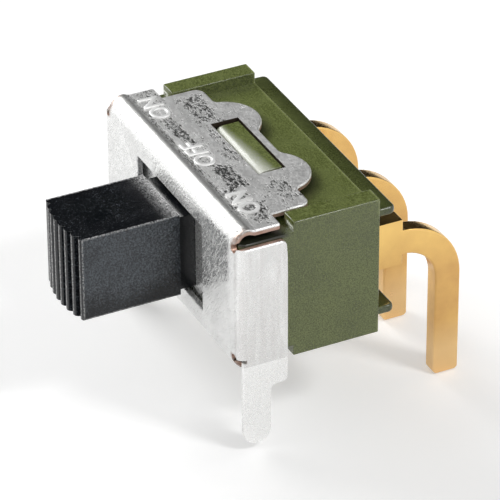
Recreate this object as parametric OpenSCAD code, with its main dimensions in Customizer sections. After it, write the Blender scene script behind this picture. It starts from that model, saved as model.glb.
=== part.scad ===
// Miniature right-angle slide switch with three positions, built as separate pieces.
// X runs along the slide, Y from the knob to the terminals and Z up, in millimetres.
// Y is measured from the frame's front face and Z from the middle of the case, until place().

/* [Case] */
// Height of the case over its ledges
case_h = 6.6; // [6.2:0.1:9]
// Distance from the frame's front face to the rear face of the case
case_d = 6.74; // [6.4:0.02:9]
// Room in the cavity beyond each end terminal
end_room = 0.77; // [0.6:0.01:1.5]
// Wall at each end of the cavity
end_wall = 0.5; // [0.4:0.05:0.7]
// Wall above and below the cavity
side_wall = 0.45; // [0.35:0.05:0.6]
// Rear wall that holds the terminals
back_wall = 1.9; // [1.5:0.1:2.4]
// Width of the raised ledge at each end
ledge_w = 0.92; // [0.6:0.02:1.3]
// Height of the ledges above the recess for the flanges
ledge_h = 0.5; // [0.4:0.05:0.7]
// Depth of the two ribs on the rear face
rib_d = 0.87; // [0.5:0.01:1.3]
// Thickness of each rear rib
rib_t = 0.4; // [0.3:0.05:0.6]
// Height over both rear ribs
rib_span = 5.28; // [4.8:0.02:5.8]
// Distance from the case ends to the rib ends
rib_inset = 0.22; // [0.1:0.02:0.6]
// Depth of the well that holds the terminal seal
well_d = 0.5; // [0.3:0.05:0.8]

/* [Frame] */
// Thickness of the sheet
sheet_t = 0.25; // [0.2:0.01:0.35]
// Inside radius of the bends to the flanges
bend_r = 0.37; // [0.25:0.01:0.5]
// Inside radius of the bends to the side tabs
corner_r = 0.17; // [0.12:0.01:0.25]
// Depth of the flange at its ends
strip_d = 2.2; // [1.8:0.05:2.6]
// Depth of the flange at its shoulders
shoulder_d = 4.05; // [3.6:0.05:4.3]
// Reach of the two round ears
ear_d = 5.36; // [5.1:0.02:5.8]
// Radius of the ears
ear_r = 1.6; // [1.4:0.05:1.8]
// Distance between the ear centres
ear_pitch = 4.72; // [4.4:0.02:5.2]
// Depth of the flange between the ears
valley_d = 4.72; // [4.5:0.02:4.9]
// Length of the catch window
window_l = 4.6; // [4:0.1:5.2]
// Distance from the front face to the catch window
window_y = 3.08; // [2.8:0.02:3.2]
// Depth of the catch window
window_d = 1.29; // [1:0.01:1.4]
// Depth of the side tabs
tab_d = 2.31; // [2:0.01:3]
// Height of the tab tops above the middle of the case
tab_top = 2.7; // [2.4:0.05:2.9]
// Depth of the board seat below the middle of the case
seat_z = 4.24; // [3.8:0.02:5]
// Length of the terminals below the board seat
pin_l = 3.05; // [2.5:0.05:4]
// Height of the frame's pin tips above the tips of the terminals
leg_short = 0.28; // [0:0.02:0.5]
// Distance from the front face to the frame's pins
leg_y = 0.27; // [0.2:0.01:0.4]
// Width of the frame's pins
leg_w = 1.25; // [1:0.05:1.5]

/* [Knob] */
// Width of the knob along the slide
knob_w = 3.64; // [3:0.02:4.2]
// Reach of the knob's crown in front of the frame
knob_reach = 5.2; // [4:0.1:7]
// Rise of the crown over the knob's front corners
knob_crown = 0.33; // [0.2:0.01:0.5]
// Distance between the grip grooves
grip_pitch = 0.475; // [0.42:0.005:0.5]
// Depth of the grip grooves
grip_d = 0.17; // [0.1:0.01:0.2]
// Gap between the grip and the frame's front face
grip_gap = 0.35; // [0.2:0.05:0.6]
// Step from the grip's sides in to its stem
stem_side = 0.12; // [0.05:0.01:0.3]
// Step from the grip's top and bottom in to its stem
stem_step = 0.18; // [0.05:0.01:0.3]
// Slide travel each way from the centre
travel = 1.25; // [1:0.05:1.4]
// Thickness of the slider's base plate
base_t = 1; // [0.7:0.05:1.2]
// Height of the base plate above and below the stem
base_rim = 0.5; // [0.4:0.02:0.8]
// Thickness of the dust shield that closes the slot from behind
shield_t = 0.1; // [0.08:0.01:0.15]

/* [Plunger] */
// Radius of the plunger
plunger_r = 0.8; // [0.6:0.05:1]
// Length of the plunger
plunger_l = 2.6; // [2.2:0.1:3]
// Wall of the boss round the plunger
boss_wall = 0.5; // [0.3:0.05:0.7]
// Length of the spring as fitted
spring_l = 3.9; // [3:0.1:4.5]
// Diameter of the spring wire
wire_d = 0.2; // [0.12:0.02:0.26]
// Turns of the spring
spring_turns = 7; // [5:1:9]

/* [Terminals] */
// Distance between the terminals
term_pitch = 4.7; // [4.2:0.05:5]
// Thickness of the terminals
term_t = 0.76; // [0.6:0.02:0.9]
// Width of the terminal pins
pin_w = 1.19; // [1:0.01:1.4]
// Height of the terminal blades
blade_h = 2.2; // [1.9:0.05:2.4]
// Reach of the blades behind the case
blade_out = 1.79; // [1.5:0.01:2.5]
// Drop from the top of a blade to the top of its hook
hook_drop = 0.56; // [0.3:0.02:0.7]
// Inside radius of the hooks
hook_r = 1.62; // [1:0.02:1.8]
// Depth of the contact heads inside the case
head_d = 0.45; // [0.3:0.05:0.6]

/* [Rocker] */
// Thickness of the rocker
rocker_t = 0.3; // [0.2:0.05:0.4]
// Tilt of the rocker at each end of the travel, in degrees
rocker_tilt = 3; // [2:0.25:3.5]

/* [Clearances] */
// Gap between the front plate and the case
front_gap = 0.03; // [0.02:0.01:0.06]
// Gap between the side tabs and the case ends
tab_gap = 0.02; // [0.01:0.01:0.05]
// Gap between the flanges and the recess
flange_gap = 0.26; // [0.15:0.01:0.35]
// Running gap round the slider
slide_gap = 0.05; // [0.03:0.01:0.08]
// Gap between the front plate and the dust shield
shield_gap = 0.15; // [0.08:0.01:0.2]
// Gap between the dust shield and the knob's stem
stem_gap = 0.03; // [0.02:0.01:0.05]
// Gap left at the stops at each end of the travel
stop_gap = 0.1; // [0.05:0.01:0.2]
// Gap between the plunger and its bore
bore_gap = 0.05; // [0.02:0.01:0.08]
// Gap between touching parts of the contact system
contact_gap = 0.02; // [0.01:0.01:0.04]
// Gap between the terminals and their slots in the case
slot_gap = 0.03; // [0.01:0.01:0.06]

/* [Hidden] */
$fn = 48;
// overshoot of cutting shapes
over = 1;

// Levels of the case
head_x = term_pitch + term_t / 2;
cavity_x = head_x + end_room;
case_x = cavity_x + end_wall;
recess_z = case_h / 2 - ledge_h;
case_front = sheet_t + front_gap;
cavity_z = recess_z - side_wall;
cavity_back = case_d - back_wall;
ledge_front_gap = 0.52;
ledge_y = strip_d + ledge_front_gap;
rib_corner_r = 0.28;
seal_margin = 0.45;
well_x = head_x + seal_margin;
well_z = blade_h / 2 + seal_margin;

// Levels of the frame
bend_out = bend_r + sheet_t;
corner_out = corner_r + sheet_t;
flange_in = recess_z + flange_gap;
flange_out = flange_in + sheet_t;
tab_in = case_x + tab_gap;
tab_out = tab_in + sheet_t;
flat_x = tab_out - corner_out;
flat_z = flange_out - bend_out;
shoulder_gap = 0.13;
shoulder_x = case_x - ledge_w - shoulder_gap;
strip_corner_r = 0.12;
shoulder_corner_r = 0.45;
ear_x = ear_pitch / 2;
ear_y = ear_d - ear_r;
valley_r = 0.6;
neck_r = 0.25;
relief_r = 0.18;
tab_corner_r = 0.28;
leg_corner_r = 0.22;
notch_h = 0.16;
stand_h = seat_z + pin_l;

// Catches that snap into the flange windows
catch_gap = 0.06;
catch_side_gap = 0.2;
catch_x = window_l / 2 - catch_side_gap;
catch_front = window_y + catch_gap;
catch_back = window_y + window_d - catch_gap;
catch_top = flange_out - catch_gap;
catch_r = catch_top - recess_z;

// Slot, dust shield, slider base and grip
shield_front = sheet_t + shield_gap;
base_x = cavity_x - travel - stop_gap;
base_z = cavity_z - slide_gap;
base_front = shield_front + shield_t;
base_back = base_front + base_t;
stem_x = knob_w / 2 - stem_side;
stem_z = base_z - base_rim;
grip_z = stem_z + stem_step;
grip_back = -grip_gap;
slot_x = knob_w / 2 + travel + stop_gap;
slot_z = grip_z + front_gap + slide_gap;
crown_r = (pow(knob_w / 2, 2) + pow(knob_crown, 2)) / (2 * knob_crown);
crown_y = crown_r - knob_reach;
grip_r = (pow(grip_pitch / 2, 2) + pow(grip_d, 2)) / (2 * grip_d);
grip_ring = crown_r - grip_r;
grip_count = floor(knob_w / (2 * grip_pitch)) + 1;
function grip_y(x) = crown_y - sqrt(pow(grip_ring, 2) - pow(x, 2));
knob_front = grip_y(grip_pitch / 2) - grip_r;

// Contact system, worked out forwards from the rear wall
head_lip = 0.4;
head_z = blade_h / 2 + head_lip;
head_front = cavity_back - head_d;
pivot_r = term_t / 2;
pivot_to_rocker = pivot_r + contact_gap;
pivot_y = head_front - contact_gap - head_x * tan(rocker_tilt) + pivot_to_rocker / cos(rocker_tilt);
rocker_back = pivot_y - pivot_to_rocker;
rocker_front = rocker_back - rocker_t;
horn_w = 0.6;
horn_gap = 0.12;
horn_reach = 0.15;
waist_z = head_z - horn_w - slide_gap;
rocker_shoulder = 0.55;
rocker_z = waist_z + rocker_shoulder;
detent_d = 0.05;
detent_r = plunger_r + bore_gap;

// Plunger, its bore and its spring
plunger_tip = rocker_front - contact_gap;
plunger_rear = plunger_tip - plunger_l;
bore_r = plunger_r + bore_gap;
bore_front = plunger_rear - spring_l - contact_gap;
boss_clear = 1.1;
boss_back = rocker_front - boss_clear;
boss_r = bore_r + boss_wall;
spring_gap = 0.1;
coil_r = bore_r - spring_gap - wire_d / 2;
wire_sides = 8;
rings_per_turn = 16;

// Hooked terminals
blade_end = case_d + blade_out;
hook_z = blade_h / 2 - hook_drop - pin_w - hook_r;
pin_front = blade_end + hook_r;
pin_back = pin_front + pin_w;
tip_chamfer = 0.12;

// Middle of the part from the knob's front to the terminals' backs
mid_y = (knob_front + pin_back) / 2;

// Moves a piece to the part's own origin, under its middle at the height of the pin tips
module place() {
    translate([0, -mid_y, stand_h]) children();
}

// Box between two corners
module span(low, high) {
    translate(low) cube(high - low);
}

// Rectangle between two corners
module rect(low, high) {
    translate(low) square(high - low);
}

// Extrudes a Y-Z outline along X, between two X positions
module along_x(x0, x1) {
    translate([x0, 0, 0]) rotate([90, 0, 90]) linear_extrude(x1 - x0) children();
}

// Extrudes an X-Y outline along Z, between two heights
module along_z(z0, z1) {
    translate([0, 0, z0]) linear_extrude(z1 - z0) children();
}

// Makes a copy on each side of the X = 0 plane
module both_sides() {
    children();
    mirror([1, 0, 0]) children();
}

// Makes a copy above and below the middle of the case
module top_and_bottom() {
    children();
    mirror([0, 0, 1]) children();
}

// What rounding takes off a corner whose sides lead away from point along -side
module corner_bit(point, r, side) {
    translate(point) scale_signs(side) difference() {
        translate([-r, -r]) square(r + over);
        translate([-r, -r]) circle(r);
    }
}

// Turns the first quadrant into the one with these signs
module scale_signs(side) {
    mirror([side[0] < 0 ? 1 : 0, 0]) mirror([0, side[1] < 0 ? 1 : 0]) children();
}

// Quarter of a ring in the quadrant with these signs
module quarter_ring(centre, r_in, r_out, side) {
    translate(centre) scale_signs(side) intersection() {
        difference() {
            circle(r_out);
            circle(r_in);
        }
        square(r_out);
    }
}

// Plan of a flange, from the end of its bend backwards
module flange_plan() {
    // fillet centres beside each ear
    valley_x = ear_x - sqrt(pow(ear_r + valley_r, 2) - pow(valley_d + valley_r - ear_y, 2));
    valley_join = ear_r / (ear_r + valley_r);
    valley_top = ear_y + (valley_d + valley_r - ear_y) * valley_join;
    neck_x = ear_x + sqrt(pow(ear_r + neck_r, 2) - pow(shoulder_d + neck_r - ear_y, 2));
    neck_top = ear_y + (shoulder_d + neck_r - ear_y) * ear_r / (ear_r + neck_r);
    difference() {
        union() {
            rect([-flat_x, bend_out], [flat_x, strip_d]);
            rect([-shoulder_x, bend_out], [shoulder_x, shoulder_d]);
            rect([-ear_x, bend_out], [ear_x, valley_d]);
            both_sides() translate([ear_x, ear_y]) circle(ear_r);
            both_sides() difference() {
                rect([valley_x, ear_y], [ear_x, valley_top]);
                translate([valley_x, valley_d + valley_r]) circle(valley_r);
            }
            both_sides() difference() {
                rect([ear_x, ear_y], [neck_x, neck_top]);
                translate([neck_x, shoulder_d + neck_r]) circle(neck_r);
            }
        }
        both_sides() corner_bit([flat_x, strip_d], strip_corner_r, [1, 1]);
        both_sides() corner_bit([shoulder_x, shoulder_d], shoulder_corner_r, [1, 1]);
        rect([-window_l / 2, window_y], [window_l / 2, window_y + window_d]);
    }
}

// Side view of a tab with its pin, behind the corner bend
module tab_side() {
    leg_r = leg_w / 2;
    leg_back = leg_y + leg_w;
    tip_z = leg_short + leg_r - stand_h;
    difference() {
        union() {
            rect([corner_out, -seat_z], [tab_d, tab_top]);
            rect([leg_y, -seat_z], [corner_out + over / 10, -flat_z - notch_h]);
            rect([leg_y, tip_z], [leg_back, -seat_z]);
            translate([leg_y + leg_r, tip_z]) circle(leg_r);
            difference() {
                rect([leg_back, -seat_z - leg_corner_r], [leg_back + leg_corner_r, -seat_z]);
                translate([leg_back + leg_corner_r, -seat_z - leg_corner_r]) circle(leg_corner_r);
            }
        }
        corner_bit([tab_d, tab_top], tab_corner_r, [1, 1]);
        corner_bit([tab_d, -seat_z], tab_corner_r, [1, -1]);
    }
}

// Folded sheet frame with the knob's slot, two flanges and two tabs with pins
module frame() {
    color("lightgray") place() difference() {
        union() {
            span([-flat_x, 0, -flat_z], [flat_x, sheet_t, flat_z]);
            top_and_bottom() {
                along_x(-flat_x, flat_x) quarter_ring([bend_out, flat_z], bend_r, bend_out, [-1, 1]);
                along_z(flange_in, flange_out) flange_plan();
            }
            both_sides() {
                along_z(-flat_z, tab_top) quarter_ring([flat_x, corner_out], corner_r, corner_out, [1, -1]);
                along_x(tab_in, tab_out) tab_side();
            }
        }
        span([-slot_x, -over, -slot_z], [slot_x, sheet_t + over, slot_z]);
        both_sides() top_and_bottom() translate([flat_x, -over, flat_z])
            rotate([-90, 0, 0]) cylinder(r = relief_r, h = over + corner_out);
    }
}

// Side view of a catch with a round front
module catch_side() {
    difference() {
        rect([catch_front, recess_z - side_wall / 2], [catch_back, catch_top]);
        corner_bit([catch_front, catch_top], catch_r, [-1, 1]);
    }
}

// Plan of a rear rib with rounded outer corners
module rib_plan() {
    rib_x = case_x - rib_inset;
    rib_back = case_d + rib_d;
    difference() {
        rect([-rib_x, case_d - well_d / 2], [rib_x, rib_back]);
        both_sides() corner_bit([rib_x, rib_back], rib_corner_r, [1, 1]);
    }
}

// Moulded case, open at the front, with catches, ledges and rear ribs
module case() {
    color("darkolivegreen") place() difference() {
        union() {
            span([-case_x, case_front, -recess_z], [case_x, case_d, recess_z]);
            top_and_bottom() {
                both_sides() span([case_x - ledge_w, ledge_y, 0], [case_x, case_d, case_h / 2]);
                along_x(-catch_x, catch_x) catch_side();
                along_z(rib_span / 2 - rib_t, rib_span / 2) rib_plan();
            }
        }
        span([-cavity_x, -over, -cavity_z], [cavity_x, cavity_back, cavity_z]);
        span([-well_x, case_d - well_d, -well_z], [well_x, case_d + rib_d + over, well_z]);
        for (x = [-term_pitch, 0, term_pitch]) translate([x, 0, 0]) blade(slot_gap);
        both_sides() case_corner_cut();
    }
}

// Bevel that keeps a front corner of the case out of the frame's corner bend
module case_corner_cut() {
    corner_cut = corner_r + front_gap;
    along_z(-case_h, case_h) polygon([
        [case_x - corner_cut, case_front - over],
        [case_x - corner_cut, case_front],
        [case_x, case_front + corner_cut],
        [case_x + over, case_front + corner_cut],
        [case_x + over, case_front - over]
    ]);
}

// Blade of a terminal through the rear wall, enlarged all round by gap
module blade(gap) {
    span([-term_t / 2 - gap, cavity_back - head_d / 2, -blade_h / 2 - gap],
         [term_t / 2 + gap, blade_end, blade_h / 2 + gap]);
}

// Side view of the hook and pin behind a blade
module hook_side() {
    quarter_ring([blade_end, hook_z], hook_r, hook_r + pin_w, [1, 1]);
    polygon([
        [pin_front, hook_z],
        [pin_front, tip_chamfer - stand_h],
        [pin_front + tip_chamfer, -stand_h],
        [pin_back - tip_chamfer, -stand_h],
        [pin_back, tip_chamfer - stand_h],
        [pin_back, hook_z]
    ]);
}

// Blade and hooked pin that every terminal has
module terminal_stock() {
    blade(0);
    along_x(-term_t / 2, term_t / 2) hook_side();
}

// Terminal at one end, with a contact head for the rocker
module end_terminal(x) {
    color("gold") place() translate([x, 0, 0]) {
        terminal_stock();
        span([-term_t / 2, head_front, -head_z], [term_t / 2, cavity_back, head_z]);
    }
}

module left_terminal() {
    end_terminal(-term_pitch);
}

module right_terminal() {
    end_terminal(term_pitch);
}

// Middle terminal, with a round edge that the rocker tilts on, between two horns
module centre_terminal() {
    color("gold") place() {
        terminal_stock();
        span([-term_t / 2, pivot_y, -head_z], [term_t / 2, cavity_back, head_z]);
        translate([0, pivot_y, -head_z]) cylinder(r = pivot_r, h = 2 * head_z);
        top_and_bottom() span([-term_t / 2, rocker_front - horn_reach, head_z - horn_w],
                              [term_t / 2, pivot_y, head_z]);
    }
}

// Sealing compound in the well round the terminal blades
module terminal_seal() {
    color("dimgray") place() difference() {
        span([-well_x, case_d - well_d, -well_z], [well_x, case_d, well_z]);
        for (x = [-term_pitch, 0, term_pitch]) translate([x, 0, 0]) blade(0);
    }
}

// Contact bar with a waist between the horns and a groove for the plunger's rest position
module rocker_contact() {
    waist_x = term_t / 2 + horn_gap;
    color("gold") place() difference() {
        span([-head_x, rocker_front, -rocker_z], [head_x, rocker_back, rocker_z]);
        top_and_bottom() span([-waist_x, rocker_front - over, waist_z],
                              [waist_x, rocker_back + over, rocker_z + over]);
        translate([0, rocker_front + detent_d - detent_r, -rocker_z - over])
            cylinder(r = detent_r, h = 2 * (rocker_z + over));
    }
}

// Cylinder along Y between two positions
module rod_y(r, y0, y1) {
    translate([0, y0, 0]) rotate([-90, 0, 0]) cylinder(r = r, h = y1 - y0);
}

// Plan of the knob's grip, with a crowned front of round ribs
module grip_plan() {
    intersection() {
        rect([-knob_w / 2, knob_front - over], [knob_w / 2, grip_back]);
        union() {
            rect([-knob_w / 2, grip_y(knob_w / 2)], [knob_w / 2, grip_back]);
            translate([0, crown_y]) circle(crown_r - grip_d, $fn = 180);
            for (i = [0 : grip_count - 1], side = [-1, 1]) {
                x = side * (i + 0.5) * grip_pitch;
                translate([x, grip_y(x)]) circle(grip_r);
            }
        }
    }
}

// Slider with its knob, stem, base plate and plunger boss in one moulding
module slide_knob() {
    color("black") place() difference() {
        union() {
            along_z(-grip_z, grip_z) grip_plan();
            span([-stem_x, grip_back, -stem_z], [stem_x, base_back, stem_z]);
            span([-base_x, base_front, -base_z], [base_x, base_back, base_z]);
            rod_y(boss_r, base_front, boss_back);
        }
        rod_y(bore_r, bore_front, boss_back + over);
    }
}

// Thin metal plate on the slider's base, which closes the slot at every position
module dust_shield() {
    hole_x = stem_x + stem_gap;
    hole_z = stem_z + stem_gap;
    color("silver") place() difference() {
        span([-base_x, shield_front, -base_z], [base_x, base_front, base_z]);
        span([-hole_x, shield_front - over, -hole_z], [hole_x, base_front + over, hole_z]);
    }
}

// Round-nosed plunger that the spring presses on the rocker
module plunger() {
    color("ivory") place() {
        rod_y(plunger_r, plunger_rear, plunger_tip - plunger_r);
        intersection() {
            translate([0, plunger_tip - plunger_r, 0]) sphere(plunger_r);
            rod_y(plunger_r + over, plunger_tip - plunger_r, plunger_tip + over);
        }
    }
}

// Point on the spring wire, by its share of the length and its place round the wire
function wire_point(share, turn) =
    let (around = 360 * spring_turns * share)
    let (reach = coil_r + wire_d / 2 * cos(turn))
    let (rise = wire_d / 2 + share * (spring_l - contact_gap - wire_d) + wire_d / 2 * sin(turn))
    [reach * cos(around), bore_front + contact_gap + rise, reach * sin(around)];

// Round-wire compression spring behind the plunger
module plunger_spring() {
    rings = spring_turns * rings_per_turn;
    points = [for (i = [0 : rings], k = [0 : wire_sides - 1]) wire_point(i / rings, 360 * k / wire_sides)];
    walls = [for (i = [0 : rings - 1], k = [0 : wire_sides - 1])
        let (next = (k + 1) % wire_sides)
        [i * wire_sides + k, (i + 1) * wire_sides + k, (i + 1) * wire_sides + next, i * wire_sides + next]];
    first_end = [for (k = [0 : wire_sides - 1]) k];
    last_end = [for (k = [wire_sides - 1 : -1 : 0]) rings * wire_sides + k];
    color("silver") place() polyhedron(points, concat(walls, [first_end, last_end]));
}

frame();
case();
slide_knob();
dust_shield();
plunger();
plunger_spring();
rocker_contact();
left_terminal();
centre_terminal();
right_terminal();
terminal_seal();
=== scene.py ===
import math

import bmesh
import bpy
from mathutils import Matrix, Vector
from mathutils.bvhtree import BVHTree


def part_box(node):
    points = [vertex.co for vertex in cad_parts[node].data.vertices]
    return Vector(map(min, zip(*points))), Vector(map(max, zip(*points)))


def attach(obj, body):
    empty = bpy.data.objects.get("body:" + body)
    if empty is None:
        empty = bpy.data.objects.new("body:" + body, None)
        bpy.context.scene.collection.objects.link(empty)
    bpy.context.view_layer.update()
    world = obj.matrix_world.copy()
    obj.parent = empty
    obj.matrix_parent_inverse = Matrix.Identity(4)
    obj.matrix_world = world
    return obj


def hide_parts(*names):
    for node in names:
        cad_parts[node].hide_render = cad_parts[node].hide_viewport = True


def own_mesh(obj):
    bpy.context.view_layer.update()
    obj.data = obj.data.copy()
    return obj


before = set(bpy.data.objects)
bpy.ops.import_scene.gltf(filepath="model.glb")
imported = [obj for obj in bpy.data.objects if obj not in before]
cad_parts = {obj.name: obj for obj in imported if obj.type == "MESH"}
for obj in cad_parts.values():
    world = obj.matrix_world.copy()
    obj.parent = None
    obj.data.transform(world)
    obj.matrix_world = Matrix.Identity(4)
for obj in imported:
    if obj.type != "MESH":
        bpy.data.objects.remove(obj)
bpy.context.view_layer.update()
print("frame loaded:", len(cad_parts), "nodes")

perMetre = 1000.0  # shapes are edited in millimetres and stored in metres
digits = 5  # places are rounded, so that edges always round the same way
caseLow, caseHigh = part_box("case")
frontY = round(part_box("frame")[0][1] * perMetre, digits)  # front face of the sheet frame, mm
midZ = round((caseLow[2] + caseHigh[2]) / 2 * perMetre, digits)  # middle of the case, mm
mergeGap = 0.0008  # points nearer than this are one, mm
flatAngle = 0.6  # faces that turn less than this are one, degrees
edgeAngle = 40  # a corner sharper than this is rounded, degrees


# mesh tools
def addObject(name, data):
    item = bpy.data.objects.new(name, data)
    bpy.context.scene.collection.objects.link(item)
    return item


def meshData(mesh, name):
    data = bpy.data.meshes.new(name)
    mesh.to_mesh(data)
    mesh.free()
    return data


def copyOfNode(nodeName):
    mesh = bmesh.new()
    mesh.from_mesh(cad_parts[nodeName].data)
    bmesh.ops.scale(mesh, vec=(perMetre,) * 3, verts=mesh.verts)
    bmesh.ops.remove_doubles(mesh, verts=mesh.verts, dist=mergeGap)
    for edge in mesh.edges:
        edge.smooth = True
    bmesh.ops.dissolve_limit(mesh, angle_limit=math.radians(flatAngle), verts=mesh.verts, edges=mesh.edges)
    return mesh


def middleOf(edge):
    return (edge.verts[0].co + edge.verts[1].co) / 2


def outerEdges(mesh, leastAngle, wanted=None):
    found = []
    for edge in mesh.edges:
        if len(edge.link_faces) != 2 or edge.calc_face_angle_signed(0.0) < math.radians(leastAngle):
            continue
        if wanted is None or wanted(middleOf(edge)):
            found.append(edge)
    return found


def roundEdges(mesh, edges, width, segments=2, clamped=True):
    made = bmesh.ops.bevel(mesh, geom=edges, offset=width, offset_type="OFFSET", segments=segments,
                           profile=0.5, affect="EDGES", clamp_overlap=clamped, material=-1)
    return made["faces"]


def storePiece(mesh, pieceName, materials, body, nodes=(), smoothAngle=50):
    bmesh.ops.scale(mesh, vec=(1 / perMetre,) * 3, verts=mesh.verts)
    data = meshData(mesh, pieceName)
    for material in materials:
        data.materials.append(material)
    data.polygons.foreach_set("use_smooth", [True] * len(data.polygons))
    data.set_sharp_from_angle(angle=math.radians(smoothAngle))
    piece = addObject(pieceName, data)
    piece.modifiers.new("flat faces", "WEIGHTED_NORMAL").keep_sharp = True
    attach(piece, body)
    if nodes:
        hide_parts(*nodes)
    return piece


# material tools
noiseSpan = (0.3, 0.7)  # where nearly all of a noise lies
noiseCore = (0.35, 0.65)


def newMaterial(name):
    material = bpy.data.materials.new(name)
    material.use_nodes = True
    tree = material.node_tree
    place = tree.nodes.new("ShaderNodeTexCoord").outputs["Object"]
    return material, tree, tree.nodes["Principled BSDF"], place


def noise(tree, place, size, detail=3.0, roughness=0.6, stretch=(1, 1, 1), turn=0.0):
    mapping = tree.nodes.new("ShaderNodeMapping")
    mapping.vector_type = "TEXTURE"
    mapping.inputs["Scale"].default_value = stretch
    mapping.inputs["Rotation"].default_value = (0, math.radians(turn), 0)
    tree.links.new(place, mapping.inputs["Vector"])
    node = tree.nodes.new("ShaderNodeTexNoise")
    node.inputs["Scale"].default_value = perMetre / size  # size of a blotch, mm
    node.inputs["Detail"].default_value = detail
    node.inputs["Roughness"].default_value = roughness
    tree.links.new(mapping.outputs["Vector"], node.inputs["Vector"])
    return node.outputs["Fac"]


def ramp(tree, value, span, ends=(0.0, 1.0)):
    node = tree.nodes.new("ShaderNodeMapRange")
    for socket, number in zip(("From Min", "From Max", "To Min", "To Max"), (*span, *ends)):
        node.inputs[socket].default_value = number
    tree.links.new(value, node.inputs["Value"])
    return node.outputs["Result"]


def calc(tree, operation, first, second=0.0):
    node = tree.nodes.new("ShaderNodeMath")
    node.operation = operation
    for index, value in enumerate((first, second)):
        if isinstance(value, (int, float)):
            node.inputs[index].default_value = value
        else:
            tree.links.new(value, node.inputs[index])
    return node.outputs["Value"]


def product(tree, first, *others):
    for other in others:
        first = calc(tree, "MULTIPLY", first, other)
    return first


def total(tree, first, *others):
    for other in others:
        first = calc(tree, "ADD", first, other)
    return first


def rest(tree, share):
    return calc(tree, "SUBTRACT", 1.0, share)


def between(tree, share, first, second):
    return total(tree, first, product(tree, share, calc(tree, "SUBTRACT", second, first)))


def mixColour(tree, share, first, second):
    node = tree.nodes.new("ShaderNodeMix")
    node.data_type = "RGBA"
    tree.links.new(share, node.inputs["Factor"])
    ends = [socket for socket in node.inputs if socket.type == "RGBA"]
    for socket, value in zip(ends, (first, second)):
        if isinstance(value, tuple):
            socket.default_value = (*value, 1.0)
        else:
            tree.links.new(value, socket)
    return [socket for socket in node.outputs if socket.type == "RGBA"][0]


def bump(tree, shader, height, distance):
    node = tree.nodes.new("ShaderNodeBump")
    node.inputs["Strength"].default_value = 1.0
    node.inputs["Distance"].default_value = distance / perMetre
    tree.links.new(height, node.inputs["Height"])
    tree.links.new(node.outputs["Normal"], shader.inputs["Normal"])


# millimetres along the slide, behind the front face and above the middle of the case
def partPlace(tree, place):
    axes = tree.nodes.new("ShaderNodeSeparateXYZ")
    tree.links.new(place, axes.inputs["Vector"])
    at = {}
    for name, start in (("x", 0.0), ("y", frontY), ("z", midZ)):
        scaled = calc(tree, "MULTIPLY", axes.outputs[name.upper()], perMetre)
        at[name] = calc(tree, "SUBTRACT", scaled, start)
    at["offX"] = calc(tree, "ABSOLUTE", at["x"])
    at["offZ"] = calc(tree, "ABSOLUTE", at["z"])
    return at


# bright tin plate: mottled by its crystals, brushed upright on the tabs, dark stipple on the flanges
# pairs for x, y and z say where a layer starts and is full, in mm on the axes of partPlace
tinLook = {
    "metallic": 0.75, "bright": (0.93, 0.93, 0.92), "dull": (0.82, 0.82, 0.81), "dullFrom": (0.35, 0.7),
    "cloud": {"size": 1.3}, "grain": {"size": 0.11, "roughness": 0.7},
    "tabX": (6.20, 6.35), "flangeZ": (3.20, 3.28), "plateY": (0.08, 0.02),
    "mottle": (0.40, 0.60), "mottleGrain": 0.7, "mottleRough": (0.13, 0.50), "flangeRough": (0.32, 0.48),
    "depth": 0.010, "brushHeight": 0.5, "cloudHeight": 1.5, "fleckHeight": -1.0, "scratchHeight": 2.2,
}
legLook = {"colour": (0.99, 0.99, 0.98), "creaseZ": (-3.07, -3.03)}
streakLook = {"colour": (0.80, 0.79, 0.78), "from": (0.35, 0.6),
              "noise": {"size": 0.30, "detail": 2, "stretch": (1, 1, 12)}}
scratchLook = {"from": (0.50, 0.62),
               "noise": {"size": 0.10, "detail": 2, "roughness": 0.7, "stretch": (1, 1, 5), "turn": 35}}
strainedLook = {"colour": (0.34, 0.25, 0.21), "nearX": (5.86, 6.04), "endX": (6.34, 6.28), "y": (0.85, 0.65),
                "z": (2.45, 2.6), "from": (0.30, 0.55), "share": (0.35, 1.0)}
# painted shade along the crest of each fold
foldShadeLook = {"colour": (0.38, 0.38, 0.37), "riseY": (0.46, 0.62), "fallY": (0.88, 0.76),
             "from": (0.30, 0.60), "share": (0.55, 0.95)}
workedLook = {"colour": (0.50, 0.50, 0.49), "from": (0.2, 1.0), "share": (0.0, 0.5),
              "smear": {"size": 0.45, "stretch": (2.5, 1, 1)}, "smearFrom": (0.42, 0.66),
              "smearShare": (0.0, 0.42)}
lowPlateLook = {"slant": 0.72, "below": (-3.20, -3.45), "cornerX": (5.6, 5.9), "rough": (0.55, 0.75)}
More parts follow.
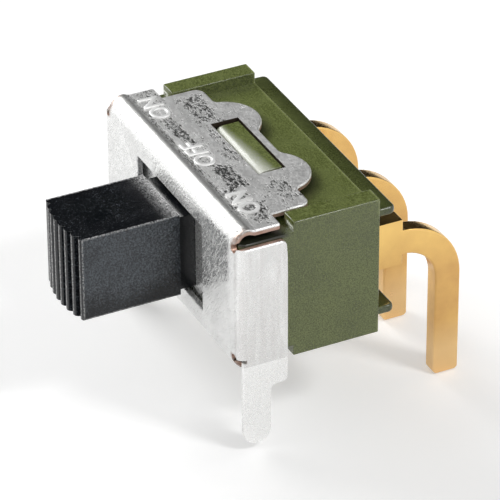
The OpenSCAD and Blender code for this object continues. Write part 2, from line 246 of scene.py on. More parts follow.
fleckLook = {
    "colour": (0.03, 0.03, 0.028), "from": (0.45, 0.57), "share": (0.0, 0.95), "shift": (-0.18, 0.07),
    "noise": {"size": 0.11, "detail": 4, "roughness": 0.8, "stretch": (1.6, 1, 1)},
    "edge": (0.7, 1.2), "ragged": (-0.35, 0.35), "raggedNoise": {"size": 0.35, "detail": 2},
    "loose": (0.50, 0.68), "looseShare": (0.0, 0.55), "looseNoise": {"size": 0.8, "detail": 2},
    # x, y from the front face, half sizes, share of flecks
    "zones": (
        (-3.6, 3.2, 1.3, 0.55, 0.85), (-2.4, 1.6, 1.3, 0.32, 0.9), (1.9, 1.95, 1.1, 0.48, 0.95),
        (3.8, 3.55, 0.9, 0.5, 0.75), (4.9, 1.85, 0.75, 0.5, 0.85), (3.05, 1.45, 0.35, 0.4, 0.8),
        (-5.8, 1.7, 0.45, 0.5, 0.7), (0.1, 1.0, 1.5, 0.22, 0.85), (0.3, 2.65, 0.7, 0.3, 0.75),
        (0.0, 0.98, 6.4, 0.14, 0.72), (4.2, 1.55, 1.2, 0.6, 0.6), (-0.3, 1.55, 1.2, 0.6, 0.6),
        (-4.6, 1.55, 1.1, 0.6, 0.5), (0.8, 3.0, 0.7, 0.14, 0.7), (-1.5, 2.85, 1.3, 0.22, 0.65),
    ),
}


# how much the stamping has worked the metal, and the flecks that gather there
def stippled(tree, place, at):
    ragged = ramp(tree, noise(tree, place, **fleckLook["raggedNoise"]), noiseSpan, fleckLook["ragged"])
    loose = noise(tree, place, **fleckLook["looseNoise"])
    amount = ramp(tree, loose, fleckLook["loose"], fleckLook["looseShare"])
    for middleX, middleY, halfX, halfY, share in fleckLook["zones"]:
        awayX = calc(tree, "ABSOLUTE", calc(tree, "SUBTRACT", at["x"], middleX))
        awayY = calc(tree, "ABSOLUTE", calc(tree, "SUBTRACT", at["y"], middleY))
        reach = calc(tree, "MAXIMUM", calc(tree, "DIVIDE", awayX, halfX), calc(tree, "DIVIDE", awayY, halfY))
        inZone = ramp(tree, calc(tree, "ADD", reach, ragged), fleckLook["edge"], (share, 0.0))
        amount = calc(tree, "MAXIMUM", amount, inZone)
    shift = ramp(tree, amount, (0.0, 1.0), fleckLook["shift"])
    speck = calc(tree, "ADD", noise(tree, place, **fleckLook["noise"]), shift)
    return amount, ramp(tree, speck, fleckLook["from"], fleckLook["share"])


# plating strained thin at the ends of the folds
def strainedShare(tree, at, grain):
    return product(tree, ramp(tree, at["offX"], strainedLook["nearX"]),
                   ramp(tree, at["offX"], strainedLook["endX"]), ramp(tree, at["y"], strainedLook["y"]),
                   ramp(tree, at["offZ"], strainedLook["z"]),
                   ramp(tree, grain, strainedLook["from"], strainedLook["share"]))


# painted shade: a dark line along the crest of each fold
def foldShadeShare(tree, at, grain):
    return product(tree, ramp(tree, at["y"], foldShadeLook["riseY"]), ramp(tree, at["y"], foldShadeLook["fallY"]),
                   ramp(tree, grain, foldShadeLook["from"], foldShadeLook["share"]))


# the front plate is matt below a slanting line from the slot to the near corner
def lowPlateShare(tree, at):
    height = calc(tree, "SUBTRACT", at["z"], product(tree, at["x"], lowPlateLook["slant"]))
    return calc(tree, "MAXIMUM", ramp(tree, height, lowPlateLook["below"]),
                ramp(tree, at["x"], lowPlateLook["cornerX"]))


def tinPlate():
    material, tree, shader, place = newMaterial("tin plate")
    shader.inputs["Metallic"].default_value = tinLook["metallic"]
    at = partPlace(tree, place)
    cloud = noise(tree, place, **tinLook["cloud"])
    grain = noise(tree, place, **tinLook["grain"])
    brush = noise(tree, place, **streakLook["noise"])
    onTab = ramp(tree, at["offX"], tinLook["tabX"])
    onFlange = product(tree, ramp(tree, at["offZ"], tinLook["flangeZ"]), rest(tree, onTab))
    onPlate = ramp(tree, at["y"], tinLook["plateY"])
    amount, speckled = stippled(tree, place, at)
    flecks = product(tree, onFlange, speckled)

    # bare legs below a crease in the tabs, upright streaks above it
    aboveCrease = ramp(tree, at["z"], legLook["creaseZ"])
    onLeg = product(tree, onTab, rest(tree, aboveCrease))
    streaked = product(tree, onTab, aboveCrease, ramp(tree, brush, streakLook["from"]))
    worked = product(tree, onFlange, ramp(tree, amount, workedLook["from"], workedLook["share"]))
    smear = noise(tree, place, **workedLook["smear"])
    smeared = product(tree, onFlange, ramp(tree, smear, workedLook["smearFrom"], workedLook["smearShare"]))
    colour = mixColour(tree, ramp(tree, cloud, tinLook["dullFrom"]), tinLook["bright"], tinLook["dull"])
    for share, layer in (
            (onLeg, legLook), (streaked, streakLook), (strainedShare(tree, at, grain), strainedLook),
            (product(tree, foldShadeShare(tree, at, grain), onFlange), foldShadeLook), (worked, workedLook),
            (smeared, workedLook), (flecks, fleckLook)):
        colour = mixColour(tree, share, colour, layer["colour"])
    tree.links.new(colour, shader.inputs["Base Color"])

    mottle = between(tree, tinLook["mottleGrain"], cloud, grain)
    rough = ramp(tree, mottle, tinLook["mottle"], tinLook["mottleRough"])
    rough = between(tree, onFlange, rough, ramp(tree, grain, noiseCore, tinLook["flangeRough"]))
    onLowPlate = product(tree, lowPlateShare(tree, at), onPlate)
    rough = between(tree, onLowPlate, rough, ramp(tree, grain, noiseCore, lowPlateLook["rough"]))
    tree.links.new(rough, shader.inputs["Roughness"])

    scratch = ramp(tree, noise(tree, place, **scratchLook["noise"]), scratchLook["from"])
    relief = total(tree, grain, product(tree, brush, tinLook["brushHeight"]),
                   product(tree, cloud, tinLook["cloudHeight"]),
                   product(tree, flecks, tinLook["fleckHeight"]),
                   product(tree, scratch, onPlate, tinLook["scratchHeight"]))
    bump(tree, shader, relief, tinLook["depth"])
    return material


# sheared edges of the sheet, where the base metal shows, with painted shade on the walls of the catch windows
cutLook = {
    "copper": (0.40, 0.24, 0.18), "pale": (0.60, 0.45, 0.38), "windowShadeColour": (0.05, 0.040, 0.030),
    "metallic": 0.6, "roughness": 0.42, "blotch": {"size": 0.5}, "burr": {"size": 0.07, "detail": 2},
    "depth": 0.008,
    "windowX": (2.37, 2.35), "riseY": (3.0, 3.02), "fallY": (4.45, 4.43), "share": (0.0, 0.9),
}


def cutMetal():
    material, tree, shader, place = newMaterial("cut edge")
    shader.inputs["Metallic"].default_value = cutLook["metallic"]
    shader.inputs["Roughness"].default_value = cutLook["roughness"]
    at = partPlace(tree, place)
    blotch = ramp(tree, noise(tree, place, **cutLook["blotch"]), noiseCore)
    windowShadeShare = product(tree, ramp(tree, at["y"], cutLook["riseY"]), ramp(tree, at["y"], cutLook["fallY"]),
                       ramp(tree, at["offX"], cutLook["windowX"], cutLook["share"]))
    colour = mixColour(tree, blotch, cutLook["copper"], cutLook["pale"])
    tree.links.new(mixColour(tree, windowShadeShare, colour, cutLook["windowShadeColour"]), shader.inputs["Base Color"])
    bump(tree, shader, noise(tree, place, **cutLook["burr"]), cutLook["depth"])
    return material


# olive thermoset of the case
oliveLook = {
    "light": (0.185, 0.220, 0.070), "dark": (0.070, 0.088, 0.020), "lightFrom": (0.42, 0.60),
    "cloud": {"size": 1.8}, "grain": {"size": 0.06, "detail": 2, "roughness": 0.7}, "grainShare": 0.85,
    "specular": 0.7, "roughness": (0.22, 0.34), "depth": 0.005, "topZ": (2.5, 2.6),
}
# painted shade: the ribs on the rear face of the case darken toward their edge
ribShadeLook = {"colour": (0.030, 0.037, 0.009), "y": (6.74, 6.76), "deeperY": (6.74, 7.44),
               "share": (0.30, 0.85)}
# painted highlight: a pale line along the rear top edge of the case
rearEdgeHighlightLook = {"colour": (0.30, 0.34, 0.13), "riseY": (6.60, 6.69), "fallY": (6.76, 6.74), "share": 0.5}
earShadeLook = {"colour": (0.030, 0.034, 0.012), "earX": 2.36, "earY": 3.76, "reach": (1.6, 2.2),
             "share": (0.92, 0.0), "rearY": (6.74, 6.54), "underZ": (2.90, 2.84)}
catchRubAndHighlightLook = {"colour": (0.72, 0.74, 0.66), "x": (2.2, 2.15), "y": (3.05, 3.12), "z": (2.92, 2.98),
             "slant": 0.10, "ragged": (-0.12, 0.12), "slopeY": (3.85, 3.25), "share": (0.0, 0.85)}
# painted shade on the case top under the front of the flanges
underFlangeShadeLook = {"colour": (0.020, 0.022, 0.012), "y": (2.7, 2.2), "z": (2.62, 2.74)}


# painted shade on the case top beside the round ears of the flanges
def earShadeShare(tree, at):
    awayX = calc(tree, "SUBTRACT", at["offX"], earShadeLook["earX"])
    awayY = calc(tree, "SUBTRACT", at["y"], earShadeLook["earY"])
    away = calc(tree, "SQRT", total(tree, product(tree, awayX, awayX), product(tree, awayY, awayY)))
    return product(tree, ramp(tree, away, earShadeLook["reach"], earShadeLook["share"]),
                   ramp(tree, at["y"], earShadeLook["rearY"]), ramp(tree, at["offZ"], oliveLook["topZ"]),
                   ramp(tree, at["offZ"], earShadeLook["underZ"]))


# catches rubbed pale where the flanges snap over them, the pale front slope partly a painted highlight
def catchRubAndHighlightShare(tree, at, grain):
    onCatch = product(tree, ramp(tree, at["offZ"], catchRubAndHighlightLook["z"]), ramp(tree, at["offX"], catchRubAndHighlightLook["x"]),
                      ramp(tree, at["y"], catchRubAndHighlightLook["y"]))
    slope = calc(tree, "SUBTRACT", at["y"], product(tree, at["x"], catchRubAndHighlightLook["slant"]))
    slope = total(tree, slope, ramp(tree, grain, noiseSpan, catchRubAndHighlightLook["ragged"]))
    return product(tree, onCatch, ramp(tree, slope, catchRubAndHighlightLook["slopeY"], catchRubAndHighlightLook["share"]))


def olivePlastic():
    material, tree, shader, place = newMaterial("olive moulding")
    shader.inputs["Specular IOR Level"].default_value = oliveLook["specular"]
    at = partPlace(tree, place)
    cloud = noise(tree, place, **oliveLook["cloud"])
    grain = noise(tree, place, **oliveLook["grain"])
    mottle = between(tree, oliveLook["grainShare"], cloud, grain)
    # painted shade on the ribs
    ribShade = product(tree, ramp(tree, at["y"], ribShadeLook["y"]),
                    ramp(tree, at["y"], ribShadeLook["deeperY"], ribShadeLook["share"]))
    onTop = ramp(tree, at["offZ"], oliveLook["topZ"])
    # painted highlight along the rear top edge
    rearEdgeHighlight = product(tree, ramp(tree, at["y"], rearEdgeHighlightLook["riseY"]),
                         ramp(tree, at["y"], rearEdgeHighlightLook["fallY"]), onTop, rearEdgeHighlightLook["share"])
    # painted shade under the front of the flanges
    underFlangeShade = product(tree, ramp(tree, at["y"], underFlangeShadeLook["y"]), ramp(tree, at["offZ"], underFlangeShadeLook["z"]))
    lightness = ramp(tree, mottle, oliveLook["lightFrom"])
    colour = mixColour(tree, lightness, oliveLook["dark"], oliveLook["light"])
    for share, layer in (
            (ribShade, ribShadeLook), (rearEdgeHighlight, rearEdgeHighlightLook), (earShadeShare(tree, at), earShadeLook),
            (catchRubAndHighlightShare(tree, at, grain), catchRubAndHighlightLook), (underFlangeShade, underFlangeShadeLook)):
        colour = mixColour(tree, share, colour, layer["colour"])
    tree.links.new(colour, shader.inputs["Base Color"])
    tree.links.new(ramp(tree, cloud, noiseSpan, oliveLook["roughness"]), shader.inputs["Roughness"])
    bump(tree, shader, grain, oliveLook["depth"])
    return material


# black knob: spark-textured sides, with painted shade toward the foot and the stem, and rubbed edges that
# carry a painted highlight
knobLook = {
    "dark": (0.0025, 0.0034, 0.0050), "light": (0.115, 0.132, 0.150), "lightFrom": (0.40, 0.76),
    "grain": {"size": 0.075, "roughness": 0.75}, "cloud": {"size": 1.4, "detail": 2},
    "roughness": (0.16, 0.26), "depth": 0.006,
    "sideX": (1.77, 1.81), "topToSide": (-0.17, 0.070), "cloudTone": (-0.04, 0.04),
    "footZ": (-0.7, -1.9), "footShade": (0.0, -0.20), "stemY": (-2.0, -0.6), "stemShade": (0.0, -0.06),
}
edgeRubAndHighlightLook = {
    "colour": (0.52, 0.52, 0.52), "noise": {"size": 0.07, "roughness": 0.8}, "from": (0.47, 0.57),
    "topZ": (1.90, 1.95), "topX": (1.73, 1.77), "frontEdgeY": (-4.76, -4.82), "endY": (-0.6, -1.0),
    "rearReflectionZ": (1.92, 1.96), "rearReflectionY": (-1.15, -0.50), "rearReflectionShare": (0.0, 0.5),
}


def blackPlastic(name, specular, wearAndHighlight=0.0):
    material, tree, shader, place = newMaterial(name)
    shader.inputs["Specular IOR Level"].default_value = specular
    at = partPlace(tree, place)
    grain = noise(tree, place, **knobLook["grain"])
    cloud = noise(tree, place, **knobLook["cloud"])
    onSide = ramp(tree, at["offX"], knobLook["sideX"])
    # the tone holds painted shade toward the foot and the stem
    tone = total(tree, grain, ramp(tree, onSide, (0.0, 1.0), knobLook["topToSide"]),
                 ramp(tree, at["z"], knobLook["footZ"], knobLook["footShade"]),
                 ramp(tree, at["y"], knobLook["stemY"], knobLook["stemShade"]),
                 ramp(tree, cloud, noiseSpan, knobLook["cloudTone"]))
    colour = mixColour(tree, ramp(tree, tone, knobLook["lightFrom"]), knobLook["dark"], knobLook["light"])

    # pale rubbed edges, partly a painted highlight
    topEdge = product(tree, ramp(tree, at["offZ"], edgeRubAndHighlightLook["topZ"]),
                      ramp(tree, at["offX"], edgeRubAndHighlightLook["topX"]))
    frontEdge = product(tree, onSide, ramp(tree, at["y"], edgeRubAndHighlightLook["frontEdgeY"]))
    edgeRubAndHighlight = product(tree, calc(tree, "MAXIMUM", topEdge, frontEdge), ramp(tree, at["y"], edgeRubAndHighlightLook["endY"]))
    # painted reflection of the fold: pale speckle on the rear of the top
    rearReflection = product(tree, ramp(tree, at["offZ"], edgeRubAndHighlightLook["rearReflectionZ"]),
                      ramp(tree, at["y"], edgeRubAndHighlightLook["rearReflectionY"], edgeRubAndHighlightLook["rearReflectionShare"]))
    edgeRubAndHighlight = calc(tree, "MAXIMUM", calc(tree, "MAXIMUM", edgeRubAndHighlight, rearReflection), wearAndHighlight)
    scuffAndHighlight = product(tree, edgeRubAndHighlight, ramp(tree, noise(tree, place, **edgeRubAndHighlightLook["noise"]), edgeRubAndHighlightLook["from"]))
    tree.links.new(mixColour(tree, scuffAndHighlight, colour, edgeRubAndHighlightLook["colour"]), shader.inputs["Base Color"])
    tree.links.new(ramp(tree, cloud, noiseSpan, knobLook["roughness"]), shader.inputs["Roughness"])
    bump(tree, shader, grain, knobLook["depth"])
    return material


ribLook = {"grain": {"size": 0.08, "roughness": 0.75}, "lightFrom": (0.50, 0.80), "depth": 0.002}


def ribPlastic(name, specular, roughness):
    material, tree, shader, place = newMaterial(name)
    shader.inputs["Specular IOR Level"].default_value = specular
    shader.inputs["Roughness"].default_value = roughness
    grain = noise(tree, place, **ribLook["grain"])
    colour = mixColour(tree, ramp(tree, grain, ribLook["lightFrom"]), knobLook["dark"], knobLook["light"])
    tree.links.new(colour, shader.inputs["Base Color"])
    bump(tree, shader, grain, ribLook["depth"])
    return material


# gold plate: painted shade darkens the pins below the hooks, and the pins are paler at their tips
goldLook = {
    "light": (0.93, 0.62, 0.21), "deep": (0.66, 0.38, 0.14), "tip": (0.92, 0.65, 0.34),
    "cloud": {"size": 1.6}, "drawn": {"size": 0.12, "detail": 2, "stretch": (1, 3, 8)},
    "roughness": (0.16, 0.28), "depth": 0.006, "cloudShare": (0.0, 0.4),
    "pinShadeZ": (0.51, -1.79), "pinShadeShare": (0.0, 0.6), "tipZ": (-4.49, -6.09), "tipShare": (0.0, 0.6),
}


def goldPlate():
    material, tree, shader, place = newMaterial("gold plate")
    shader.inputs["Metallic"].default_value = 1.0
    at = partPlace(tree, place)
    cloud = noise(tree, place, **goldLook["cloud"])
    tone = total(tree, ramp(tree, at["z"], goldLook["pinShadeZ"], goldLook["pinShadeShare"]),
                 ramp(tree, cloud, noiseSpan, goldLook["cloudShare"]))
    colour = mixColour(tree, tone, goldLook["light"], goldLook["deep"])
    tip = ramp(tree, at["z"], goldLook["tipZ"], goldLook["tipShare"])
    tree.links.new(mixColour(tree, tip, colour, goldLook["tip"]), shader.inputs["Base Color"])
    tree.links.new(ramp(tree, cloud, noiseSpan, goldLook["roughness"]), shader.inputs["Roughness"])
    bump(tree, shader, noise(tree, place, **goldLook["drawn"]), goldLook["depth"])
    return material


def plainFinish(name, first, second, size, roughness, depth, metallic=0.0):
    material, tree, shader, place = newMaterial(name)
    shader.inputs["Metallic"].default_value = metallic
    shader.inputs["Roughness"].default_value = roughness
    blotch = noise(tree, place, size)
    tree.links.new(mixColour(tree, ramp(tree, blotch, noiseCore), first, second), shader.inputs["Base Color"])
    bump(tree, shader, blotch, depth)
    return material


resinLook = {"first": (0.035, 0.034, 0.028), "second": (0.060, 0.056, 0.045), "size": 0.8, "roughness": 0.25,
             "depth": 0.020}
ivoryLook = {"first": (0.72, 0.68, 0.55), "second": (0.62, 0.57, 0.44), "size": 0.4, "roughness": 0.40,
             "depth": 0.004}
wireLook = {"first": (0.62, 0.62, 0.61), "second": (0.48, 0.48, 0.47), "size": 0.12, "roughness": 0.28,
            "depth": 0.002, "metallic": 1.0}
raisedLook = {"first": (0.95, 0.95, 0.94), "second": (0.86, 0.86, 0.85), "size": 0.2, "roughness": 0.45,
              "depth": 0.006, "metallic": 0.45}
tin = tinPlate()
cut = cutMetal()
olive = olivePlastic()
black = blackPlastic("black moulding", specular=0.68)
sideBlack = blackPlastic("textured side", specular=0.40)
wornHighlitBlack = blackPlastic("worn highlit black edge", specular=0.52, wearAndHighlight=0.90)
ribBlack = ribPlastic("polished rib", specular=0.40, roughness=0.12)
grooveBlack = ribPlastic("matt groove", specular=0.05, roughness=0.8)
gold = goldPlate()
resin = plainFinish("seal resin", **resinLook)
ivory = plainFinish("ivory plastic", **ivoryLook)
wire = plainFinish("spring wire", **wireLook)
raisedTin = plainFinish("raised tin", **raisedLook)
print("materials made")

# folded frame: sheared faces have more metal behind them than the sheet is thick
# the die rolls their outer edges over, so plating covers those, and base metal shows on flanges and tab tops
frameLook = {
    "sheet": 0.25, "thicker": 1.3, "skin": 0.002, "rolled": 0.09, "segments": 3, "smoothAngle": 32,
    "pinEdge": 0.03, "pinAngle": 60, "cutGap": 0.0005,
    "swell": 0.10, "crest": 0.70, "swellEnd": 1.06, "cuts": (0.68, 0.74, 0.80, 0.86, 0.92, 0.98, 1.02, 1.06),
    "flangeZ": 2.9, "swellZ": 2.8, "swellX": 6.25, "middleY": 2.5, "nearFront": 0.3,
    "slotX": 3.3, "slotZ": 2.3, "pinX": 6.3, "pinTop": 2.3,
    "windowX": 2.6, "windowY": 3.45, "windowReach": 1.0, "reliefX": 6.2, "reliefZ": 2.69, "reliefReach": 0.22,
}
tinSlot, cutSlot = 0, 1


def swellShare(behind):
    crest = frameLook["crest"]
    if behind < crest:
        return math.sin(math.pi / 2 * behind / crest) ** 2
    return math.cos(math.pi / 2 * (behind - crest) / (frameLook["swellEnd"] - crest)) ** 2


def onPin(spot):
    return abs(spot.x) > frameLook["pinX"] and spot.z < midZ + frameLook["pinTop"]


def nearFront(spot):
    return spot.y < frontY + frameLook["nearFront"]


def inSlot(spot):
    return abs(spot.x) < frameLook["slotX"] and abs(spot.z - midZ) < frameLook["slotZ"] and nearFront(spot)


def byRelief(spot):
    away = math.hypot(abs(spot.x) - frameLook["reliefX"], abs(spot.z - midZ) - frameLook["reliefZ"])
    return nearFront(spot) and away < frameLook["reliefReach"]


def onWindowRim(spot, wall):
    toWindow = Vector((0, frontY + frameLook["windowY"], midZ)) - spot
    facing = wall.normal.xy.dot(toWindow.xy) > 0
    return abs(spot.x) < frameLook["windowX"] and facing and abs(toWindow.y) < frameLook["windowReach"]


sheet = copyOfNode("frame")
# the folds swell a little above the flanges
for behind in frameLook["cuts"]:
    flanges = [face for face in sheet.faces if abs(face.calc_center_median().z - midZ) > frameLook["flangeZ"]]
    around = {edge for face in flanges for edge in face.edges}
    corners = {vert for face in flanges for vert in face.verts}
    bmesh.ops.bisect_plane(sheet, geom=[*flanges, *around, *corners], dist=frameLook["cutGap"],
                           plane_co=(0, frontY + behind, 0), plane_no=(0, 1, 0))
for vert in sheet.verts:
    behind = vert.co.y - frontY
    offZ = vert.co.z - midZ
    onFold = abs(offZ) > frameLook["swellZ"] and abs(vert.co.x) < frameLook["swellX"]
    if onFold and 0 < behind < frameLook["swellEnd"]:
        vert.co.z += math.copysign(frameLook["swell"] * swellShare(behind), offZ)
sheet.normal_update()
sheetTree = BVHTree.FromBMesh(sheet)
sheetMiddle = Vector((0, frontY + frameLook["middleY"], midZ))
sheared = set()
for face in sheet.faces:
    middle = face.calc_center_median_weighted()
    through = sheetTree.ray_cast(middle - face.normal * frameLook["skin"], -face.normal)[3]
    if through is not None and through > frameLook["thicker"] * frameLook["sheet"]:
        sheared.add(face)
        face.material_index = tinSlot if inSlot(middle) or onPin(middle) else cutSlot
rolledEdges = []
for edge in outerEdges(sheet, edgeAngle, lambda spot: not onPin(spot)):
    walls = [face for face in edge.link_faces if face in sheared]
    plated = [face for face in edge.link_faces if face not in sheared]
    if not walls or not plated or any(byRelief(vert.co) for vert in edge.verts):
        continue
    outside = plated[0].normal.dot(plated[0].calc_center_median() - sheetMiddle) > 0
    if outside and not onWindowRim(middleOf(edge), walls[0]):
        rolledEdges.append(edge)
for face in roundEdges(sheet, rolledEdges, frameLook["rolled"], frameLook["segments"], clamped=False):
    face.material_index = tinSlot
roundEdges(sheet, outerEdges(sheet, frameLook["pinAngle"], onPin), frameLook["pinEdge"])
storePiece(sheet, "frame_sheet", [tin, cut], "housing", ["frame"], frameLook["smoothAngle"])
print("frame made")

# raised position words on the top flange, read from behind
wordLook = {
    "words": (("word_left_on", "ON", -5.50, -3.65), ("word_off", "OFF", -1.32, 0.77),
              ("word_right_on", "ON", 3.20, 5.00)),  # left and right ends, mm
    "top": 1.08, "foot": 2.02, "rise": 0.055, "round": 0.045, "segments": 3, "flange": 3.31, "bolder": 0.028,
    "curveSteps": 6, "mergeGap": 0.0005, "flatAngle": 0.5, "skin": 0.002, "cornerAngle": 50,
    "smoothAngle": 40,
}


# letters one unit high and thick, scaled to size afterwards
def unitWord(pieceName, letters):
    font = bpy.data.curves.new(pieceName, "FONT")
    font.body = letters
    font.size = 1.0
    font.extrude = 0.5
    font.resolution_u = wordLook["curveSteps"]
    font.offset = wordLook["bolder"]
    outline = addObject(pieceName + "_outline", font)
    bpy.context.view_layer.update()
    mesh = bmesh.new()
    mesh.from_mesh(outline.evaluated_get(bpy.context.evaluated_depsgraph_get()).to_mesh())
    bpy.data.objects.remove(outline)
    return mesh


for pieceName, letters, lowX, highX in wordLook["words"]:
    word = unitWord(pieceName, letters)
    bmesh.ops.remove_doubles(word, verts=word.verts, dist=wordLook["mergeGap"])
    spanX = [vert.co.x for vert in word.verts]
    spanY = [vert.co.y for vert in word.verts]
    stretch = ((highX - lowX) / (max(spanX) - min(spanX)),
               (wordLook["foot"] - wordLook["top"]) / (max(spanY) - min(spanY)))
    bmesh.ops.translate(word, vec=(-min(spanX), -min(spanY), 0.0), verts=word.verts)
    bmesh.ops.scale(word, vec=(*stretch, 2 * wordLook["rise"]), verts=word.verts)
    bmesh.ops.rotate(word, cent=(0, 0, 0), matrix=Matrix.Rotation(math.pi, 3, "Z"), verts=word.verts)
    flangeZ = midZ + wordLook["flange"]
    bmesh.ops.translate(word, vec=(highX, frontY + wordLook["foot"], flangeZ), verts=word.verts)
    bmesh.ops.dissolve_limit(word, angle_limit=math.radians(wordLook["flatAngle"]), verts=word.verts,
                             edges=word.edges)
    topZ = flangeZ + wordLook["rise"] - wordLook["skin"]
    topEdges = outerEdges(word, wordLook["cornerAngle"], lambda spot: spot.z > topZ)
    roundEdges(word, topEdges, wordLook["round"], wordLook["segments"])
    storePiece(word, pieceName, [raisedTin], "housing", smoothAngle=wordLook["smoothAngle"])
print("words made")

# moulded case
caseLook = {"edge": 0.085, "segments": 3, "endEdge": 0.07, "endX": 6.34, "ribEdge": 0.15, "ribSegments": 4,
            "ribY": 6.9}
moulding = copyOfNode("case")
endEdges = outerEdges(moulding, edgeAngle, lambda spot: abs(spot.x) > caseLook["endX"])
roundEdges(moulding, endEdges, caseLook["endEdge"], caseLook["segments"], clamped=False)
ribEdges = outerEdges(moulding, edgeAngle, lambda spot: spot.y > frontY + caseLook["ribY"])
roundEdges(moulding, ribEdges, caseLook["ribEdge"], caseLook["ribSegments"])
roundEdges(moulding, outerEdges(moulding, edgeAngle), caseLook["edge"], caseLook["segments"])
storePiece(moulding, "case_moulding", [olive], "housing", ["case"])
print("case made")

# slide knob: each rib has a worn crest with a painted highlight, polished flanks and matt grooves, parted by
# how far they face forward
gripLook = {"edge": 0.05, "segments": 3, "ribsY": -4.86, "wornHighlitY": -1.0, "side": 0.9, "upright": 0.1,
            "crest": 0.97, "flank": 0.75, "rib": 0.01}
gripFinish = {"plain": black, "wornHighlit": wornHighlitBlack, "flank": ribBlack, "groove": grooveBlack, "side": sideBlack}
gripSlot = {name: index for index, name in enumerate(gripFinish)}
grip = copyOfNode("slide_knob")
for face in grip.faces:
    forward = -face.normal.y
    if abs(face.normal.x) > gripLook["side"]:
        face.material_index = gripSlot["side"]
    upright = abs(face.normal.z) < gripLook["upright"]
    onRibs = upright and face.calc_center_median().y < frontY + gripLook["ribsY"]
    if onRibs and forward > gripLook["crest"]:
        face.material_index = gripSlot["wornHighlit"]
    elif onRibs and forward > gripLook["flank"]:
        face.material_index = gripSlot["flank"]
    elif onRibs and forward > gripLook["rib"]:
        face.material_index = gripSlot["groove"]
# rounded edges at the front are worn pale, partly a painted highlight
for face in roundEdges(grip, outerEdges(grip, edgeAngle), gripLook["edge"], gripLook["segments"]):
    if face.calc_center_median().y < frontY + gripLook["wornHighlitY"]:
        face.material_index = gripSlot["wornHighlit"]
storePiece(grip, "knob_grip", list(gripFinish.values()), "slider", ["slide_knob"])
print("knob made")

# stamped terminals, their edges rounded outside the case
hookLook = {"edge": 0.08, "segments": 4, "outsideY": 7.0}
for side in ("left", "centre", "right"):
    hook = copyOfNode(side + "_terminal")
    hookEdges = outerEdges(hook, edgeAngle, lambda spot: spot.y > frontY + hookLook["outsideY"])
    roundEdges(hook, hookEdges, hookLook["edge"], hookLook["segments"], clamped=False)
    storePiece(hook, side + "_hook", [gold], "housing", [side + "_terminal"])
print("terminals made")

# sealing resin, sunk a little in the middle of its well
sealLook = {"lip": 0.10, "sink": 0.05, "facing": 0.99, "rearY": 6.7, "smoothAngle": 60}
seal = copyOfNode("terminal_seal")
rear = [face for face in seal.faces
        if face.normal.y > sealLook["facing"] and face.calc_center_median().y > frontY + sealLook["rearY"]]
bmesh.ops.inset_region(seal, faces=rear, thickness=sealLook["lip"], depth=-sealLook["sink"],
                       use_even_offset=True, use_boundary=True)
storePiece(seal, "seal_fill", [resin], "housing", ["terminal_seal"], sealLook["smoothAngle"])

# inner pieces: the spring gets a mesh of its own, the others new materials
springLook = {"keep": 0.91, "smoothAngle": 60}
coil = copyOfNode("plunger_spring")
coilPiece = storePiece(coil, "spring_coil", [wire], "slider", ["plunger_spring"],
                       springLook["smoothAngle"])
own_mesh(coilPiece)
for nodeName, material in (("plunger", ivory), ("rocker_contact", gold), ("dust_shield", tin)):
    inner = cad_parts[nodeName]
    inner.data.materials.clear()
    inner.data.materials.append(material)
print("inner pieces made")

# white room: what the camera and the metal see is white, what lights the part is softer
roomLook = {"zenith": 0.42, "skyline": 0.10, "zenithHeight": 0.8, "floorColour": 0.80,
            "nearLift": 0.34, "farLift": 0.72,
            "floorHalf": 3.0, "floorZ": -0.00003, "liftReach": (0.08, 0.45)}  # metres


def seenDirectly(tree):
    path = tree.nodes.new("ShaderNodeLightPath")
    seen = calc(tree, "MAXIMUM", path.outputs["Is Camera Ray"], path.outputs["Is Glossy Ray"])
    return calc(tree, "MAXIMUM", seen, path.outputs["Is Transmission Ray"])


def flatCard(name, halfWide, halfTall, turn, middle):
    mesh = bmesh.new()
    bmesh.ops.create_grid(mesh, x_segments=1, y_segments=1, size=1.0)
    bmesh.ops.scale(mesh, vec=(halfWide, halfTall, 1), verts=mesh.verts)
    bmesh.ops.rotate(mesh, cent=(0, 0, 0), matrix=turn, verts=mesh.verts)
    bmesh.ops.translate(mesh, vec=middle, verts=mesh.verts)
    return addObject(name, meshData(mesh, name))


world = bpy.data.worlds.new("white room")
bpy.context.scene.world = world
world.use_nodes = True
worldTree = world.node_tree
white = worldTree.nodes["Background"]
white.inputs["Color"].default_value = (1, 1, 1, 1)
white.inputs["Strength"].default_value = 1.0
soft = worldTree.nodes.new("ShaderNodeBackground")
soft.inputs["Color"].default_value = (1, 1, 1, 1)
skyAxes = worldTree.nodes.new("ShaderNodeSeparateXYZ")
skyPlace = worldTree.nodes.new("ShaderNodeTexCoord")
worldTree.links.new(skyPlace.outputs["Generated"], skyAxes.inputs["Vector"])
skyLight = ramp(worldTree, skyAxes.outputs["Z"], (0.0, roomLook["zenithHeight"]),
                (roomLook["skyline"], roomLook["zenith"]))
worldTree.links.new(skyLight, soft.inputs["Strength"])
choose = worldTree.nodes.new("ShaderNodeMixShader")
worldTree.links.new(seenDirectly(worldTree), choose.inputs[0])
worldTree.links.new(soft.outputs[0], choose.inputs[1])
worldTree.links.new(white.outputs[0], choose.inputs[2])
worldTree.links.new(choose.outputs[0], worldTree.nodes["World Output"].inputs["Surface"])

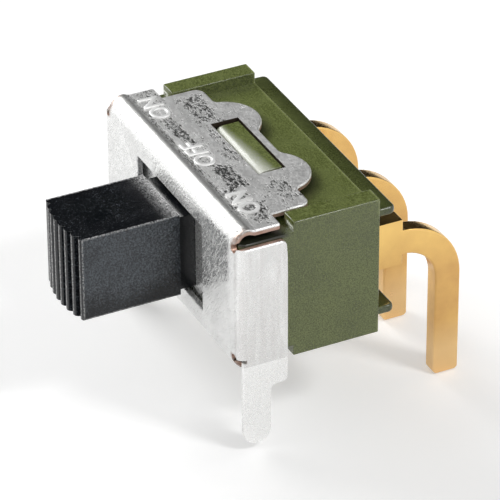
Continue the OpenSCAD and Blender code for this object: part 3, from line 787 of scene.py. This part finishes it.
floor = flatCard("floor", roomLook["floorHalf"], roomLook["floorHalf"], Matrix.Identity(3),
                 (0, 0, roomLook["floorZ"]))
floorMaterial, floorTree, floorShader, floorPlace = newMaterial("pale floor")
floorTree.nodes.remove(floorShader)
paint = floorTree.nodes.new("ShaderNodeBsdfDiffuse")
paint.inputs["Color"].default_value = (*[roomLook["floorColour"]] * 3, 1)
lift = floorTree.nodes.new("ShaderNodeEmission")
away = floorTree.nodes.new("ShaderNodeVectorMath")
away.operation = "LENGTH"
floorTree.links.new(floorPlace, away.inputs[0])
lifted = ramp(floorTree, away.outputs["Value"], roomLook["liftReach"],
              (roomLook["nearLift"], roomLook["farLift"]))
floorTree.links.new(product(floorTree, seenDirectly(floorTree), lifted), lift.inputs["Strength"])
both = floorTree.nodes.new("ShaderNodeAddShader")
floorTree.links.new(paint.outputs[0], both.inputs[0])
floorTree.links.new(lift.outputs[0], both.inputs[1])
floorTree.links.new(both.outputs[0], floorTree.nodes["Material Output"].inputs["Surface"])
floor.data.materials.append(floorMaterial)

# dark card behind the left shoulder, which only shows in glossy faces that look up and back
cardLook = {"toward": (-0.694, 0.583, 0.423), "away": 0.32, "half": (0.21, 0.20), "colour": 0.03}
partMiddle = Vector((0, 0, midZ / perMetre))
toward = Vector(cardLook["toward"]).normalized()
card = flatCard("dark_card", *cardLook["half"], toward.to_track_quat("Z", "Y").to_matrix(),
                partMiddle + toward * cardLook["away"])
cardMaterial, cardTree, cardShader, cardPlace = newMaterial("dark card")
cardShader.inputs["Base Color"].default_value = (*[cardLook["colour"]] * 3, 1)
cardShader.inputs["Roughness"].default_value = 1.0
cardShader.inputs["Specular IOR Level"].default_value = 0.0
card.data.materials.append(cardMaterial)
card.visible_camera = False
card.visible_diffuse = False
card.visible_transmission = False
card.visible_volume_scatter = False
card.visible_shadow = False

# a wide soft lamp before the fold and a small one over the near top edges
lampLook = (
    {"name": "key", "at": (-0.349, -0.141, 0.235), "wide": 0.30, "tall": 0.21, "power": 1.45},
    {"name": "top", "at": (0.225, 0.155, 0.325), "wide": 0.08, "tall": 0.08, "power": 0.56},
)
for facts in lampLook:
    lampData = bpy.data.lights.new(facts["name"], "AREA")
    lampData.shape = "RECTANGLE"
    lampData.size = facts["wide"]
    lampData.size_y = facts["tall"]
    lampData.energy = facts["power"]
    lamp = addObject(facts["name"], lampData)
    lamp.location = facts["at"]
    lamp.rotation_euler = (Vector(facts["at"]) - partMiddle).to_track_quat("Z", "Y").to_euler()
print("room and lamps made")

# camera at the photograph's angle
cameraLook = {
    "at": (0.132366, -0.063859, 0.098932), "lens": 291.744, "sensor": 36.0, "clip": (0.005, 20.0),
    "right": (0.44081, 0.89759, -0.00400), "up": (-0.47996, 0.23947, 0.84397),
}
cameraData = bpy.data.cameras.new("camera")
cameraData.lens = cameraLook["lens"]
cameraData.sensor_width = cameraLook["sensor"]
cameraData.clip_start, cameraData.clip_end = cameraLook["clip"]
camera = addObject("camera", cameraData)
right = Vector(cameraLook["right"]).normalized()
back = right.cross(Vector(cameraLook["up"])).normalized()
up = back.cross(right)
camera.matrix_world = Matrix.Translation(cameraLook["at"]) @ Matrix((right, up, back)).transposed().to_4x4()
bpy.context.scene.camera = camera
bpy.context.scene.view_settings.view_transform = "Standard"
print("camera set")
